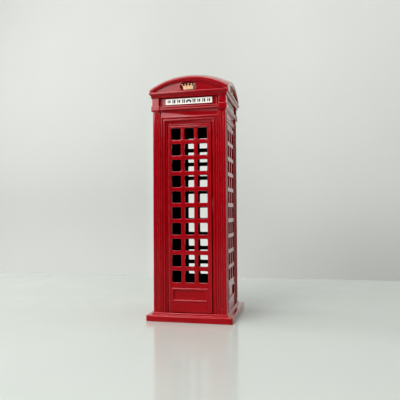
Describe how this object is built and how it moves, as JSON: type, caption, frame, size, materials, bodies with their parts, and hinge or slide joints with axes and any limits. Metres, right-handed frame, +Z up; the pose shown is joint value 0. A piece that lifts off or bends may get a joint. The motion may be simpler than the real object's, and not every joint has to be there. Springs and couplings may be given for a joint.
{
  "type": "miniature telephone booth",
  "caption": "Table-top die-cast telephone booth with latticed walls, arched roof faces, a shallow dome and a hinged door leaf on a square plinth.",
  "frame": {"origin": "centre of the flat resting face under the plinth", "axes": "+Z up, +X to the right when facing the door, +Y from the door into the booth"},
  "size_m": [0.05, 0.05, 0.1433],
  "materials": {
    "red_enamel": "gloss baked enamel over zinc die casting",
    "plated_sheet": "zinc-plated sheet",
    "plated_steel": "zinc-plated steel",
    "pad_foam": "matt closed-cell foam",
    "sign_card": "white printed plate",
    "gold_paint": "satin gold paint"
  },
  "bodies": {
    "shell": {"plinth": "red_enamel", "base_plate": "plated_sheet", "base_pad": "pad_foam", "base_screws": "plated_steel", "front_wall": "red_enamel", "back_wall": "red_enamel", "left_wall": "red_enamel", "right_wall": "red_enamel", "upper_hinge_pin": "plated_steel", "lower_hinge_pin": "plated_steel", "door_catch_spring": "plated_steel", "roof": "red_enamel", "roof_screws": "plated_steel", "front_sign": "sign_card", "back_sign": "sign_card", "left_sign": "sign_card", "right_sign": "sign_card", "front_crown": "gold_paint", "back_crown": "gold_paint", "left_crown": "gold_paint", "right_crown": "gold_paint"},
    "door": {"door_leaf": "red_enamel"}
  },
  "joints": [
    {"name": "door_swing", "type": "hinge", "parent": "shell", "child": "door", "pos_m": [-0.01155, -0.0196, 0.0588], "axis": [0, 0, -1], "range_deg": [0, 95]}
  ]
}
